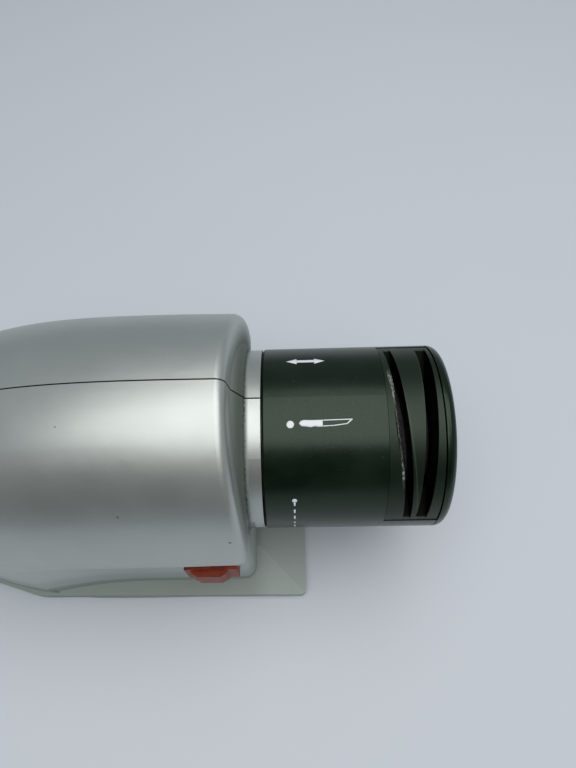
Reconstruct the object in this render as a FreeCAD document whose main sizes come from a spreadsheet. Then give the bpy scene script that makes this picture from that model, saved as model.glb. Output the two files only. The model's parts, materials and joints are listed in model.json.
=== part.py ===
"""Bench-top knife and scissors sharpener with a turning, pull-off guide head.

Millimetres. +X runs along the motor spindle towards the guide head, -Y is the front, where the switch
is, and +Z is up. The origin is under the middle of the object, on the surface that it stands on.
"""

import FreeCAD, Part
import math
import os
import re

import Sketcher

Vector = FreeCAD.Vector
Rotation = FreeCAD.Rotation

# Driving dimensions, one spreadsheet row each.
SIZES = {
    # Spindle and overall stations along X
    "axis_height": 55.0,
    "nose": 32.2,
    "tail": -94.5,
    # Housing
    "shell_radius": 42.0,
    "shell_rise": 41.8,
    "side_flare": 0.9,
    "nose_lean_radius": 200.0,
    "wall": 2.5,
    "seam_width": 0.4,
    "seam_depth": 0.9,
    "collar_start": 32.5,
    "collar_end": 37.3,
    "collar_radius": 29.5,
    "recess_face": 37.5,
    "lip_drop": 0.6,
    "ridge_round": 3.2,
    "tail_round": 6.0,
    "boss_radius": 4.0,
    # Plinth, base plate and feet
    "plinth_low": 1.0,
    "plinth_edge": 5.0,
    "plinth_top": 10.5,
    "plinth_slope": 18.0,
    "plinth_front": 50.9,
    "plinth_half_width": 43.4,
    "plinth_bend": -50.5,
    "plinth_room": 3.5,
    "plate_gap": 0.2,
    "plate_thick": 2.5,
    "foot_radius": 6.0,
    "foot_height": 1.6,
    "foot_front": 39.0,
    "foot_rear": -72.0,
    "foot_front_side": 31.0,
    "foot_rear_side": 22.0,
    # Screws
    "screw_radius": 1.5,
    "screw_head_radius": 2.9,
    "screw_head_height": 1.8,
    "screw_play": 0.1,
    "head_play": 0.2,
    # Spindle carrier and bearings
    "carrier_radius": 22.0,
    "carrier_root": 20.5,
    "carrier_start": 31.6,
    "carrier_end": 58.5,
    "flange_radius": 26.8,
    "flange_thick": 3.0,
    "bearing_radius": 11.0,
    "bearing_width": 7.0,
    "bearing_start": 51.0,
    "bushing_start": -58.0,
    "bushing_width": 8.0,
    "bushing_radius": 7.0,
    # Rotor
    "shaft_radius": 4.0,
    "shaft_rear_radius": 3.0,
    "shaft_rear": -62.0,
    "shaft_end": 90.3,
    "running_play": 0.03,
    "armature_radius": 15.0,
    "core_start": -22.0,
    "core_length": 26.0,
    "commutator_start": -42.0,
    "commutator_length": 11.0,
    "commutator_radius": 9.0,
    "fan_start": 15.5,
    "fan_radius": 18.8,
    "fan_depth": 10.0,
    # Stator
    "stator_radius": 29.0,
    "stator_bore": 15.6,
    "bolt_circle": 23.0,
    "coil_inner": 14.5,
    "coil_width": 5.0,
    "coil_low": 12.8,
    "coil_height": 6.0,
    "coil_overhang": 8.0,
    # Grinding wheel
    "wheel_radius": 18.8,
    "wheel_start": 76.5,
    "wheel_end": 89.0,
    "wheel_recess": 84.5,
    # Guide head
    "head_start": 37.7,
    "head_radius": 30.0,
    "head_wall": 3.0,
    "head_end": 94.5,
    "cap_start": 91.2,
    "cap_round": 2.8,
    "window_start": 74.4,
    "window_back": -50.0,
    "window_sweep": 136.0,
    "insert_inner": 21.5,
    "insert_sink": 0.3,
    "slot_floor": 13.0,
    "slot_middle": 19.5,
    "left_slot_wall": 80.5,
    "left_slot_width": 2.6,
    "left_slot_taper": 0.2,
    "left_slot_lean": 4.3,
    "lead_in_width": 1.3,
    "lead_in_depth": 2.8,
    "right_slot_wall": 85.1,
    "right_slot_width": 3.75,
    "right_slot_taper": 0.3,
    "right_slot_lean": -2.5,
    "index_play": 0.05,
    "index_start": 37.9,
    "index_end": 56.0,
    "key_width": 4.0,
    "key_height": 1.2,
    # Switch
    "switch_x": 18.9,
    "switch_z": 34.0,
    "switch_length": 16.8,
    "switch_height": 14.0,
    "switch_depth": 15.0,
    "cover_step": 2.9,
    "cover_rise": 5.0,
    "rocker_tilt": 8.0,
    "rocker_pin": 1.0,
    "rocker_depth": 0.6,
    # Supply inlet
    "gland_height": 24.0,
    "gland_radius": 6.5,
    "gland_bore": 3.6,
    "gland_length": 13.0,
}

doc = FreeCAD.newDocument("sharpener")
sheet = doc.addObject("Spreadsheet::Sheet", "Sizes")
for row, (alias, size) in enumerate(SIZES.items(), 1):
    sheet.set(f"A{row}", alias)
    sheet.set(f"B{row}", str(size))
    sheet.setAlias(f"B{row}", alias)
doc.recompute()

nodes = []


# ---------------------------------------------------------------- helpers

def in_sheet(formula):
    """Point every driving dimension named in a formula at its spreadsheet cell."""
    return re.sub(r"[a-z][a-z_]*", lambda word: f"Sizes.{word.group()}" if word.group() in SIZES
                  else word.group(), str(formula))


def number(formula):
    """The present value of a formula."""
    return float(sheet.evalExpression(in_sheet(formula)))


def bind(thing, prop, formula):
    thing.setExpression(prop, in_sheet(formula))


def move(thing, x, y, z, turn=None):
    """Place an object by formulas, after an optional fixed turn."""
    if turn is not None:
        thing.Placement = FreeCAD.Placement(Vector(), turn)
    for letter, formula in zip("xyz", (x, y, z)):
        bind(thing, f".Placement.Base.{letter}", formula)
    return thing


def node(thing, label):
    """Register a finished sub-part under its node name."""
    thing.Label = label
    nodes.append(thing)
    return thing


def box(name, size, low):
    """A block from its three sizes and its lowest corner."""
    thing = doc.addObject("Part::Box", name)
    for prop, formula in zip(("Length", "Width", "Height"), size):
        bind(thing, prop, formula)
    return move(thing, *low)


ALONG_X = Rotation(Vector(0, 1, 0), 90)
ALONG_Y = Rotation(Vector(1, 0, 0), -90)
ALONG_Z = Rotation()


def rod(name, radius, length, start, turn=ALONG_X):
    """A cylinder from the middle of its first end, along the turned +Z axis."""
    thing = doc.addObject("Part::Cylinder", name)
    bind(thing, "Radius", radius)
    bind(thing, "Height", length)
    return move(thing, *start, turn)


def cut(name, base, tools):
    """Base minus every tool."""
    thing = doc.addObject("Part::Cut", name)
    thing.Base = base
    thing.Tool = tools[0] if len(tools) == 1 else fuse(f"{name}_tools", tools)
    return thing


def fuse(name, pieces):
    thing = doc.addObject("Part::MultiFuse", name)
    thing.Shapes = pieces
    return thing


def group(name, pieces):
    """Several separate identical solids that share one node."""
    thing = doc.addObject("Part::Compound", name)
    thing.Links = pieces
    return thing


def outline_sketch(body, name, plane, corners):
    """A closed polygon whose corners are formulas, on one of the body's origin planes."""
    sketch = body.newObject("Sketcher::SketchObject", name)
    support = [item for item in body.Origin.OriginFeatures if item.Role == plane]
    sketch.AttachmentSupport = [(support[0], "")]
    sketch.MapMode = "FlatFace"
    points = [Vector(number(across), number(up), 0) for across, up in corners]
    for start, end in zip(points, points[1:] + points[:1]):
        sketch.addGeometry(Part.LineSegment(start, end), False)
    for side in range(len(corners)):
        sketch.addConstraint(Sketcher.Constraint("Coincident", side, 2, (side + 1) % len(corners), 1))
    for side, corner in enumerate(corners):
        for kind, formula in zip(("DistanceX", "DistanceY"), corner):
            link = sketch.addConstraint(Sketcher.Constraint(kind, -1, 1, side, 1, number(formula)))
            bind(sketch, f"Constraints[{link}]", formula)
    return sketch


def turned(name, corners, sweep="360", height="axis_height"):
    """A body turned about the spindle axis: corners are (x, radius) formulas."""
    body = doc.addObject("PartDesign::Body", name)
    sketch = outline_sketch(body, f"{name}_outline", "XZ_Plane", corners)
    spun = body.newObject("PartDesign::Revolution", f"{name}_turn")
    spun.Profile = sketch
    spun.ReferenceAxis = (sketch, ["H_Axis"])
    spun.Angle = 360
    bind(spun, "Angle", sweep)
    sketch.Visibility = False
    return move(body, "0", "0", height)


def sleeve(name, start, end, inner, outer, height="axis_height"):
    """A plain tube about the spindle axis."""
    return turned(name, [(start, inner), (end, inner), (end, outer), (start, outer)], height=height)


def padded(name, corners, length, low, plane="XY_Plane", turn=None):
    """A polygon pushed out along its plane's normal, then placed."""
    body = doc.addObject("PartDesign::Body", name)
    sketch = outline_sketch(body, f"{name}_outline", plane, corners)
    pad = body.newObject("PartDesign::Pad", f"{name}_pad")
    pad.Profile = sketch
    pad.Length = number(length)
    bind(pad, "Length", length)
    sketch.Visibility = False
    return move(body, *low, turn)


def screw(name, length, start, turn):
    """A pan-head screw: its head's top is at start and its shank runs along the turned +Z axis."""
    along = turn.multVec(Vector(0, 0, 1))
    seat = [f"({formula}) + ({part:.6f}) * screw_head_height" for formula, part in zip(start, along)]
    head = rod(f"{name}_head", "screw_head_radius", "screw_head_height", start, turn)
    shank = rod(f"{name}_shank", "screw_radius", length, seat, turn)
    return fuse(name, [head, shank])


# ---------------------------------------------------------------- housing

AXIS = number("axis_height")
FLOOR = number("plinth_low")
PLATE_TOP = number("plinth_low + plate_thick")
UNDERSIDE = -60.0
# A space that holds the whole case, used to keep or cut away one side of something
SPACE_START = -200.0
SPACE_LENGTH, SPACE_WIDTH, SPACE_HEIGHT = 300.0, 120.0, 200.0
# Body: where the flanks and the crown start to close, by how much, and how fast
TAPER_START, TAPER_SHARE, TAPER_POWER = 0.0, 0.62, 3.6
CROWN_START, CROWN_DROP, CROWN_POWER = 20.0, 32.3, 3
TAIL_SECTIONS = 9
NOSE_TOP = 60.0
END_HALF = 8.0
# Coned boss between the nose face and the collar
BOSS_LENGTH = 5.5
BOSS_SLOPE = 1.5
BOSS_STEP = 0.6
SURFACE_SEAM_TURN = 35.0


def half_width(x):
    """Half the body's width at the height of the spindle: straight, then closing towards the tail."""
    along = max(0.0, (TAPER_START - x) / (TAPER_START - number("tail")))
    return number("shell_radius") * (1 - TAPER_SHARE * along ** TAPER_POWER)


def rise(x):
    """Height of the crown above the spindle: nearly level, then falling towards the tail."""
    along = max(0.0, (CROWN_START - x) / (CROWN_START - number("tail")))
    return number("shell_rise") - CROWN_DROP * along ** CROWN_POWER


def arch(x, inset):
    """One cross-section: a half-round crown on two slightly flared sides."""
    across = half_width(x) - inset
    half = math.sqrt(0.5)
    quarters = [Part.Arc(Vector(0, 1, 0), Vector(0, half, half), Vector(0, 0, 1)).toShape(),
                Part.Arc(Vector(0, 0, 1), Vector(0, -half, half), Vector(0, -1, 0)).toShape()]
    scale = FreeCAD.Matrix()
    scale.scale(Vector(1, across, rise(x) - inset))
    scale.move(Vector(x, 0, AXIS))
    crown = [quarter.transformGeometry(scale) for quarter in quarters]
    foot = across + number("side_flare")
    corners = [Vector(x, -across, AXIS), Vector(x, -foot, 0), Vector(x, foot, 0), Vector(x, across, AXIS)]
    sides = [Part.LineSegment(a, b).toShape() for a, b in zip(corners, corners[1:])]
    return Part.Wire(crown + sides)


def side_prism(wire, half_depth):
    """A region of the XZ plane pushed out to both sides."""
    return Part.Face(wire).extrude(Vector(0, 2 * half_depth, 0)).translated(Vector(0, -half_depth, 0))


def nose_keep(inset):
    """Everything behind the nose face, which is upright low down and leans back above the spindle."""
    nose = number("nose") - inset
    lean = number("nose_lean_radius")
    back = nose - (lean - math.sqrt(lean ** 2 - NOSE_TOP ** 2))
    half = nose - (lean - math.sqrt(lean ** 2 - (NOSE_TOP / 2) ** 2))
    low, foot = Vector(nose, 0, AXIS), Vector(nose, 0, UNDERSIDE)
    high = Vector(back, 0, AXIS + NOSE_TOP)
    rear_high, rear_low = Vector(SPACE_START, 0, AXIS + NOSE_TOP), Vector(SPACE_START, 0, UNDERSIDE)
    edges = [
        Part.LineSegment(foot, low).toShape(),
        Part.Arc(low, Vector(half, 0, AXIS + NOSE_TOP / 2), high).toShape(),
        Part.LineSegment(high, rear_high).toShape(),
        Part.LineSegment(rear_high, rear_low).toShape(),
        Part.LineSegment(rear_low, foot).toShape(),
    ]
    return side_prism(Part.Wire(edges), SPACE_WIDTH / 2)


def coaxial(start, end, first, last):
    """A cylinder or cone about the spindle, with its surface seam turned away from the parting plane."""
    base = Vector(start, 0, AXIS)
    if first == last:
        solid = Part.makeCylinder(first, end - start, base, Vector(1, 0, 0))
    else:
        solid = Part.makeCone(first, last, end - start, base, Vector(1, 0, 0))
    solid.rotate(base, Vector(1, 0, 0), SURFACE_SEAM_TURN)
    return solid


def end_edges(solid, near, far):
    """The crown and flank edges of the body's end face between two stations."""
    return [edge for edge in solid.Edges
            if all(near < vertex.X < far for vertex in edge.Vertexes)
            and (abs(edge.CenterOfMass.y) > END_HALF or edge.CenterOfMass.z > AXIS + END_HALF)]


def barrel(inset):
    """The body: lofted arches with a leaning nose and rounded ends, a coned boss and the head's collar."""
    front = number("nose") + 8.0
    tail = number("tail") + inset
    stations = [front, TAPER_START + 12.0]
    spacing = (tail - TAPER_START) / (TAIL_SECTIONS - 1)
    stations += [TAPER_START + spacing * step for step in range(TAIL_SECTIONS)]
    body = Part.makeLoft([arch(x, inset) for x in stations], True, False).common(nose_keep(inset))
    if not inset:
        body = body.makeFillet(number("ridge_round"), end_edges(body, number("nose") - 9.0, front))
        body = body.makeFillet(number("tail_round"), end_edges(body, tail - 1.0, tail + 1.0))
    collar_root = number("collar_start") - inset
    collar = number("collar_radius") - inset
    wide = collar + BOSS_STEP + BOSS_SLOPE * BOSS_LENGTH
    boss = coaxial(collar_root - BOSS_LENGTH, collar_root, wide, collar + BOSS_STEP).toNurbs()
    neck = coaxial(collar_root - BOSS_LENGTH, number("collar_end") - inset, collar, collar)
    return body.fuse(boss).fuse(neck)


# How far the plinth's outline draws in at its bend, at its rear corner and at the tail
BEND_IN = 1.4
REAR_X, REAR_IN = -88.0, 13.4
TAIL_IN = 16.6
ROOF_REACH = 60.0
ROOF_THICK = 2.0


def plinth_corners():
    """The plinth's outline: square shoulders under the head, drawn in towards the tail."""
    side = number("plinth_half_width")
    flank = [(number("plinth_front"), side), (number("plinth_bend"), side - BEND_IN),
             (REAR_X, side - REAR_IN), (number("tail"), side - TAIL_IN)]
    return flank + [(x, -y) for x, y in reversed(flank)]


def footprint(inset, low, high):
    """The plinth's outline, with rounded corners, as a solid."""
    ring = [Vector(x, y, low) for x, y in plinth_corners()]
    slab = Part.Face(Part.makePolygon(ring + ring[:1])).extrude(Vector(0, 0, high - low))
    for radius, station in ((2.0, "plinth_front"), (22.0, "plinth_bend"), (9.0, "tail")):
        corners = [edge for edge in slab.Edges
                   if upright(edge) and abs(edge.Vertexes[0].X - number(station)) < 0.1]
        slab = slab.makeFillet(radius, corners)
    if not inset:
        return slab
    rim = bottom_face(slab).OuterWire.makeOffset2D(-inset)
    return Part.Face(rim).extrude(Vector(0, 0, high - low))


def roof(drop):
    """The wedges that slope a slab's top down to its sides; drop lowers them for the room below."""
    ring = plinth_corners()
    rising = math.tan(math.radians(number("plinth_slope")))
    edge_height = number("plinth_edge") - drop
    wedges = []
    for (x0, y0), (x1, y1) in zip(ring, ring[1:] + ring[:1]):
        along = Vector(x1 - x0, y1 - y0, 0).normalize()
        inward = Vector(along.y, -along.x, 0)
        if inward.dot(Vector(-x0, -y0, 0)) < 0:
            inward = -inward
        start = Vector(x0, y0, edge_height) - along * ROOF_REACH
        corners = [start - inward * ROOF_REACH - Vector(0, 0, ROOF_REACH * rising),
                   start + inward * ROOF_REACH + Vector(0, 0, ROOF_REACH * rising),
                   start - inward * ROOF_REACH + Vector(0, 0, ROOF_REACH)]
        section = Part.Face(Part.makePolygon(corners + corners[:1]))
        wedges.append(section.extrude(along * (2 * ROOF_REACH + SPACE_LENGTH)))
    return wedges


def plinth():
    """The foot of the case: a low slab whose top slopes down to a thin edge."""
    slab = footprint(0.0, FLOOR, number("plinth_top"))
    for wedge in roof(0.0):
        slab = slab.cut(wedge)
    return slab


def plate_room():
    """The room for the base plate and the feet of the posts, under the sloping top."""
    room = footprint(number("plinth_room"), FLOOR, number("plinth_top - wall"))
    for wedge in roof(ROOF_THICK):
        room = room.cut(wedge)
    return room


def upright(edge):
    """Whether an edge stands along Z."""
    first, last = edge.Vertexes[0].Point, edge.Vertexes[-1].Point
    return abs(first.x - last.x) < 1e-6 and abs(first.y - last.y) < 1e-6


def bottom_face(solid):
    return min(solid.Faces, key=lambda face: face.CenterOfMass.z)


# The hollow under the lip: stations of its outline, with drops below the spindle, and of its wall, with how
# far it stands out
LIP_BEND = -14.0
LIP_MIDDLE_X, LIP_MIDDLE_DROP = -33.6, 4.6
TIP_X, TIP_DROP = -45.5, 15.0
HEEL_BOW_X, HEEL_BOW_DROP = -46.5, 32.0
HEEL_X, HEEL_HEIGHT = -42.0, 1.0
WALL_BEND = -10.0
WALL_MIDDLE_X, WALL_MIDDLE_OUT = -30.0, 1.1
WALL_END_X, WALL_END_OUT = -50.0, 4.4
CORNER_ROUND = 4.0
BELOW = 30.0


def recess(deeper, side):
    """The leaf-shaped hollow under the lip of one flank; deeper grows it inwards for the wall behind it."""
    lip = AXIS - number("lip_drop") + deeper
    low = FLOOR + HEEL_HEIGHT - (BELOW if deeper else 0.0)
    open_end = number("nose") + 20.0
    tip = Vector(TIP_X - deeper, 0, AXIS - TIP_DROP)
    turn_in = Vector(LIP_BEND, 0, lip)
    heel = Vector(HEEL_X - deeper, 0, low)
    edges = [
        Part.LineSegment(Vector(open_end, 0, low), Vector(open_end, 0, lip)).toShape(),
        Part.LineSegment(Vector(open_end, 0, lip), turn_in).toShape(),
        Part.Arc(turn_in, Vector(LIP_MIDDLE_X, 0, lip - LIP_MIDDLE_DROP), tip).toShape(),
        Part.Arc(tip, Vector(HEEL_BOW_X - deeper, 0, AXIS - HEEL_BOW_DROP), heel).toShape(),
        Part.LineSegment(heel, Vector(open_end, 0, low)).toShape(),
    ]
    leaf = side_prism(Part.Wire(edges), SPACE_WIDTH)
    face = side * (number("recess_face") - deeper)
    outside = side * SPACE_WIDTH
    corner = number("nose") - deeper
    turned_in = face - side * CORNER_ROUND
    cut_off = CORNER_ROUND * (1 - math.sqrt(0.5))
    wall_end = face + side * WALL_END_OUT
    plan = [
        Part.LineSegment(Vector(open_end, turned_in, low), Vector(corner, turned_in, low)).toShape(),
        Part.Arc(Vector(corner, turned_in, low), Vector(corner - cut_off, face - side * cut_off, low),
                 Vector(corner - CORNER_ROUND, face, low)).toShape(),
        Part.LineSegment(Vector(corner - CORNER_ROUND, face, low), Vector(WALL_BEND, face, low)).toShape(),
        Part.Arc(Vector(WALL_BEND, face, low), Vector(WALL_MIDDLE_X, face + side * WALL_MIDDLE_OUT, low),
                 Vector(WALL_END_X, wall_end, low)).toShape(),
        Part.LineSegment(Vector(WALL_END_X, wall_end, low), Vector(WALL_END_X, outside, low)).toShape(),
        Part.LineSegment(Vector(WALL_END_X, outside, low), Vector(open_end, outside, low)).toShape(),
        Part.LineSegment(Vector(open_end, outside, low), Vector(open_end, turned_in, low)).toShape(),
    ]
    return leaf.common(Part.Face(Part.Wire(plan)).extrude(Vector(0, 0, SPACE_WIDTH)))


CASE_SCREWS = [(-74.0, 62.0), (-74.0, 20.0), (27.0, 18.0), (-10.0, 18.0)]
PLATE_SCREWS = [(39.0, 18.0), (39.0, -18.0), (-60.0, 29.0), (-60.0, -29.0)]
WEB_PLACES = (-19.0, 0.0)
WEB_THICK = 2.0
WEB_FOOT = 26.0
BASE_POST_TOP = 7.5
BASE_POST_SKIN = 0.8
CASE_SCREW_HEAD = 16.0
CASE_SCREW_START = -24.0
MOUTH_DEPTH = 8.0
INLET_DEPTH = 30.0
WINDOW_RIM = 0.6
SEAM_STEPS = 14
SEAM_NOSE_GAP = 5.4


def seam_groove():
    """The shallow parting line over the tail, crown, nose and collar, where the two halves meet."""
    depth = number("seam_depth")
    first, last = number("tail") + depth, number("nose") - SEAM_NOSE_GAP
    stations = [first + (last - first) * step / SEAM_STEPS for step in range(SEAM_STEPS + 1)]
    floor = [Vector(x, 0, AXIS + rise(x) - depth) for x in stations]
    collar_floor = AXIS + number("collar_radius") - depth
    floor.append(Vector(number("collar_start") - depth, 0, collar_floor + 0.4))
    floor.append(Vector(number("collar_end") + 1, 0, collar_floor))
    around = [Vector(number("collar_end") + 1, 0, SPACE_WIDTH), Vector(SPACE_START, 0, SPACE_WIDTH),
              Vector(SPACE_START, 0, number("plinth_top") + 1), Vector(first, 0, number("plinth_top") + 1)]
    ring = floor + around
    return side_prism(Part.makePolygon(ring + ring[:1]), number("seam_width") / 2)


def block(size, low):
    """A plain block of the case's building space."""
    return Part.makeBox(*size, Vector(*low))


def pin(radius, length, start, along):
    """A plain round bar from its first end."""
    return Part.makeCylinder(radius, length, Vector(*start), Vector(*along))


def housing():
    """The whole hollow case, before it is parted along the seam."""
    wall = number("wall")
    outer = barrel(0.0)
    hollow = barrel(wall)
    for side in (-1, 1):
        outer = outer.cut(recess(0.0, side))
        hollow = hollow.cut(recess(wall, side))
    above = block((SPACE_LENGTH, SPACE_WIDTH, SPACE_HEIGHT), (SPACE_START, -SPACE_WIDTH / 2, FLOOR))
    outer = outer.common(above).fuse(plinth()).removeSplitter()
    inside = hollow.common(footprint(number("plinth_room"), FLOOR, SPACE_WIDTH)).common(above)
    case = outer.cut(inside).cut(plate_room())
    hole = number("screw_radius + screw_play")
    boss = number("boss_radius")
    for x in WEB_PLACES:
        web = inside.common(block((WEB_THICK, SPACE_WIDTH, SPACE_WIDTH), (x, -SPACE_WIDTH / 2, WEB_FOOT)))
        bore = number("stator_radius") + 0.1
        case = case.fuse(web.cut(coaxial(x - 1, x + WEB_THICK + 1, bore, bore)))
    for x, z in CASE_SCREWS:
        post = pin(boss, SPACE_WIDTH, (x, -SPACE_WIDTH / 2, z), (0, 1, 0)).common(barrel(0.0))
        case = case.fuse(post.cut(recess(0.0, -1)).cut(recess(0.0, 1)))
    for x, y in PLATE_SCREWS:
        case = case.fuse(pin(boss, BASE_POST_TOP - PLATE_TOP, (x, y, PLATE_TOP), (0, 0, 1)))
    for x, z in CASE_SCREWS:
        case = case.cut(pin(hole, -2 * CASE_SCREW_START, (x, CASE_SCREW_START, z), (0, 1, 0)))
        sink = number("screw_head_radius + head_play")
        case = case.cut(pin(sink, SPACE_WIDTH, (x, CASE_SCREW_HEAD, z), (0, 1, 0)))
    for x, y in PLATE_SCREWS:
        depth = BASE_POST_TOP - PLATE_TOP - BASE_POST_SKIN
        case = case.cut(pin(hole, depth, (x, y, PLATE_TOP), (0, 0, 1)))
    mouth = number("carrier_radius") + 0.1
    case = case.cut(coaxial(number("collar_end") - MOUTH_DEPTH, number("collar_end") + 1.0, mouth, mouth))
    inlet = (number("tail") - 5, 0, number("gland_height"))
    case = case.cut(pin(number("gland_radius") + 0.1, INLET_DEPTH, inlet, (1, 0, 0)))
    window_low = (number("switch_x - switch_length / 2") + WINDOW_RIM, -number("recess_face") - 5,
                  number("switch_z - switch_height / 2") + WINDOW_RIM)
    window = (number("switch_length") - 2 * WINDOW_RIM, 10, number("switch_height") - 2 * WINDOW_RIM)
    return case.cut(block(window, window_low)).cut(seam_groove())


def largest(shape):
    """The biggest solid of a boolean's result."""
    return max(shape.Solids, key=lambda solid: solid.Volume)


whole_case = housing()
for label, low_side in (("housing_front", -SPACE_WIDTH / 2), ("housing_back", 0.0)):
    half_case = doc.addObject("Part::Feature", label)
    half_space = block((SPACE_LENGTH, SPACE_WIDTH / 2, SPACE_HEIGHT), (SPACE_START, low_side, 0))
    half_case.Shape = largest(whole_case.common(half_space))
    node(half_case, label)

# ---------------------------------------------------------------- base

VENT_PLACES = [-20.0 + 7.0 * step for step in range(6)]
VENT_SIZE = (2.8, 30.0, 10.0)
FEET = [(x, side * y) for x, y in ((number("foot_front"), number("foot_front_side")),
                                   (number("foot_rear"), number("foot_rear_side"))) for side in (-1, 1)]


def base_plate():
    """The flush bottom cover, with vents, screw holes and shallow seats for the feet."""
    plate = footprint(number("plinth_room + plate_gap"), FLOOR, PLATE_TOP)
    for x in VENT_PLACES:
        plate = plate.cut(block(VENT_SIZE, (x, -VENT_SIZE[1] / 2, 0)))
    for x, y in FEET:
        plate = plate.cut(pin(number("foot_radius") + 0.1, number("foot_height"), (x, y, 0), (0, 0, 1)))
    for x, y in PLATE_SCREWS:
        plate = plate.cut(pin(number("screw_radius + head_play"), VENT_SIZE[2], (x, y, 0), (0, 0, 1)))
        sink = number("screw_head_radius + head_play")
        plate = plate.cut(pin(sink, number("screw_head_height + head_play"), (x, y, FLOOR), (0, 0, 1)))
    return plate


bottom = doc.addObject("Part::Feature", "base_plate")
bottom.Shape = base_plate()
node(bottom, "base_plate")

feet = [rod(f"foot_{index}", "foot_radius", "foot_height", (str(x), str(y), "0"), ALONG_Z)
        for index, (x, y) in enumerate(FEET)]
node(group("rubber_feet", feet), "rubber_feet")
plate_screws = [screw(f"plate_screw_{index}", "3.4", (str(x), str(y), "plinth_low + 0.2"), ALONG_Z)
                for index, (x, y) in enumerate(PLATE_SCREWS)]
node(group("base_screws", plate_screws), "base_screws")
TOWARDS_FRONT = Rotation(Vector(1, 0, 0), 90)
case_screws = [screw(f"case_screw_{index}", "34", (str(x), f"{CASE_SCREW_HEAD} + screw_head_height", str(z)),
                     TOWARDS_FRONT) for index, (x, z) in enumerate(CASE_SCREWS)]
node(group("case_screws", case_screws), "case_screws")

# ---------------------------------------------------------------- spindle carrier and bearings

node(turned("spindle_tube", [
    ("carrier_start", "18"), ("carrier_start", "carrier_root"),
    ("carrier_start + flange_thick", "carrier_root"), ("carrier_start + flange_thick", "carrier_radius"),
    ("43", "carrier_radius"), ("43", "carrier_radius - 1.8"), ("45.2", "carrier_radius - 1.8"),
    ("45.2", "carrier_radius"), ("56.3", "carrier_radius"), ("56.3", "carrier_radius - 1"),
    ("57.5", "carrier_radius - 1"), ("57.5", "carrier_radius"), ("carrier_end", "carrier_radius"),
    ("carrier_end", "bearing_radius"), ("bearing_start", "bearing_radius"), ("bearing_start", "8"),
    ("bearing_start - 3", "8"), ("bearing_start - 3", "18")]), "spindle_carrier")
BOLT_HEIGHTS = (("low", "axis_height - bolt_circle"), ("high", "axis_height + bolt_circle"))
bolt_holes = [rod(f"flange_hole_{tag}", "screw_radius + screw_play", "10",
                  ("carrier_start - 5", "0", height)) for tag, height in BOLT_HEIGHTS]
flange = sleeve("flange_ring", "carrier_start", "carrier_start + flange_thick", "carrier_root + 0.05",
                "flange_radius")
node(cut("carrier_flange", flange, bolt_holes), "carrier_flange")
node(turned("front_bearing", [
    ("bearing_start", "shaft_radius + running_play"), ("bearing_start", "6"),
    ("bearing_start + 0.4", "6"), ("bearing_start + 0.4", "9"), ("bearing_start", "9"),
    ("bearing_start", "bearing_radius"), ("bearing_start + bearing_width", "bearing_radius"),
    ("bearing_start + bearing_width", "9"), ("bearing_start + bearing_width - 0.4", "9"),
    ("bearing_start + bearing_width - 0.4", "6"), ("bearing_start + bearing_width", "6"),
    ("bearing_start + bearing_width", "shaft_radius + running_play")]), "front_bearing")
node(turned("rear_bushing", [
    ("bushing_start", "shaft_rear_radius + running_play"), ("bushing_start", "bushing_radius - 1.5"),
    ("bushing_start + 2", "bushing_radius"), ("bushing_start + bushing_width - 2", "bushing_radius"),
    ("bushing_start + bushing_width", "bushing_radius - 1.5"),
    ("bushing_start + bushing_width", "shaft_rear_radius + running_play")]), "rear_bushing")

# ---------------------------------------------------------------- motor

bracket = box("bracket_bar", ("8", "18", "2 * bolt_circle + 7"),
              ("bushing_start", "-9", "axis_height - bolt_circle - 3.5"))
bracket_bore = rod("bracket_bore", "bushing_radius", "20", ("bushing_start - 5", "0", "axis_height"))
bracket_holes = [rod(f"bracket_hole_{tag}", "screw_radius + screw_play", "20",
                     ("bushing_start - 5", "0", height)) for tag, height in BOLT_HEIGHTS]
node(cut("rear_bracket", bracket, [bracket_bore] + bracket_holes), "rear_bracket")
long_screws = [screw(f"motor_screw_{tag}", "carrier_start + 2.4 - bushing_start",
                     ("bushing_start - screw_head_height", "0", height), ALONG_X)
               for tag, height in BOLT_HEIGHTS]
node(group("motor_screws", long_screws), "motor_screws")
spacers = []
for tag, height in BOLT_HEIGHTS:
    for end, start, length in (("rear", "bushing_start + 8", "core_start - bushing_start - 8"),
                               ("front", "core_start + core_length",
                                "carrier_start - core_start - core_length")):
        spacer = rod(f"spacer_tube_{end}_{tag}", "3.2", length, (start, "0", height))
        spacer_hole = rod(f"spacer_hole_{end}_{tag}", "screw_radius + screw_play", "100",
                          ("bushing_start", "0", height))
        spacers.append(cut(f"spacer_{end}_{tag}", spacer, [spacer_hole]))
node(group("motor_spacers", spacers), "motor_spacers")

laminations = sleeve("stator_ring", "core_start", "core_start + core_length", "stator_bore", "stator_radius")
windows = []
for side in (-1, 1):
    for up in (-1, 1):
        across = f"{side} * (coil_inner + coil_width / 2) - coil_width / 2 - 0.3"
        level = f"axis_height + {up} * (coil_low + coil_height / 2) - coil_height / 2 - 0.3"
        windows.append(box(f"coil_window_{side}_{up}",
                           ("core_length + 10", "coil_width + 0.6", "coil_height + 0.6"),
                           ("core_start - 5", across, level)))
stator_holes = [rod(f"stator_hole_{tag}", "screw_radius + screw_play", "60", ("core_start - 5", "0", height))
                for tag, height in BOLT_HEIGHTS]
node(cut("stator_core", laminations, windows + stator_holes), "stator_core")

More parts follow.
